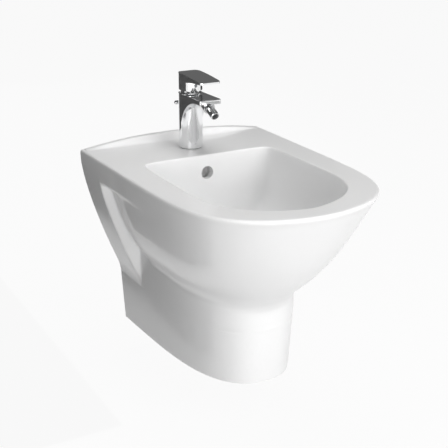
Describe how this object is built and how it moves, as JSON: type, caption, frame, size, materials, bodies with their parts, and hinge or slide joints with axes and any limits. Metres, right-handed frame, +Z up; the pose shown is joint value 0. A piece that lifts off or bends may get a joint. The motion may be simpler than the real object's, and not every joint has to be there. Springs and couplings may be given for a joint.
{
  "type": "wall-hung bidet",
  "caption": "Wall-hung ceramic bidet with a skirted trunk, side recesses, an overflow, a single-lever tap with a swivelling nozzle and a pop-up waste worked by a lift rod.",
  "frame": {"origin": "on the wall plane, midway between the two wall studs", "axes": "+Z up, -Y out of the wall towards the user, +X to the right seen from the front"},
  "size_m": [0.3554, 0.49, 0.4655],
  "materials": {
    "glazed_ceramic": "glossy white glaze",
    "chrome": "polished",
    "brass": "turned",
    "steel": "zinc plated",
    "rubber": "matt",
    "white_plastic": "matt",
    "grey_plastic": "matt"
  },
  "bodies": {
    "fixture": {"ceramic_body": "glazed_ceramic", "fixing_sleeves": "white_plastic", "fixing_washers": "steel", "fixing_nuts": "steel", "tap_base_gasket": "rubber", "tap_body": "chrome", "mounting_stud": "steel", "clamp_gasket": "rubber", "clamp_washer": "steel", "mounting_nut": "steel", "cartridge_body": "white_plastic", "cartridge_nut": "brass", "dome_cover": "chrome", "nozzle_retaining_ring": "chrome", "waste_flange": "chrome", "flange_seal": "rubber", "under_seal": "rubber", "waste_locknut": "chrome", "waste_body": "chrome", "tail_nut": "chrome", "tailpiece": "chrome", "pivot_seat": "white_plastic", "pivot_gland": "chrome"},
    "swivel": {"cartridge_guide": "white_plastic", "cartridge_pivot_pin": "steel"},
    "lever": {"cartridge_stem": "brass", "lever_handle": "chrome", "lever_grub_screw": "steel", "lever_index_plug": "grey_plastic"},
    "nozzle_turn": {"nozzle_seat_ring": "white_plastic"},
    "nozzle_head": {"nozzle": "chrome", "aerator": "grey_plastic"},
    "lift": {"lift_rod": "chrome", "lift_pull": "chrome", "rod_clamp": "brass", "clamp_screw": "brass"},
    "rocker": {"pivot_rod": "chrome"},
    "stopper": {"plug": "chrome", "plug_seal": "rubber"}
  },
  "joints": [
    {"name": "lever_swivel", "type": "hinge", "parent": "fixture", "child": "swivel", "pos_m": [0, -0.073, 0.218], "axis": [0, 0, 1], "range_deg": [-45, 45]},
    {"name": "lever_lift", "type": "hinge", "parent": "swivel", "child": "lever", "pos_m": [0, -0.073, 0.218], "axis": [-1, 0, 0], "range_deg": [0, 20]},
    {"name": "nozzle_spin", "type": "hinge", "parent": "fixture", "child": "nozzle_turn", "pos_m": [0, -0.133, 0.2152], "axis": [0, -0.9135, -0.4067], "continuous": true},
    {"name": "nozzle_tilt", "type": "hinge", "parent": "nozzle_turn", "child": "nozzle_head", "pos_m": [0, -0.133, 0.2152], "axis": [-1, 0, 0], "range_deg": [-15, 15]},
    {"name": "lift_slide", "type": "slide", "parent": "fixture", "child": "lift", "axis": [0, 0, 1], "range_m": [0, 0.03]},
    {"name": "rocker_pivot", "type": "hinge", "parent": "fixture", "child": "rocker", "pos_m": [0, -0.185, -0.095], "axis": [1, 0, 0], "range_deg": [0, 15.54]},
    {"name": "plug_slide", "type": "slide", "parent": "fixture", "child": "stopper", "axis": [0, 0, -1], "range_m": [0, 0.00819]}
  ],
  "couplings": [
    {"joint": "rocker_pivot", "follows": "lift_slide", "rad_per_m": 9.0352},
    {"joint": "plug_slide", "follows": "lift_slide", "ratio": 0.27273}
  ]
}
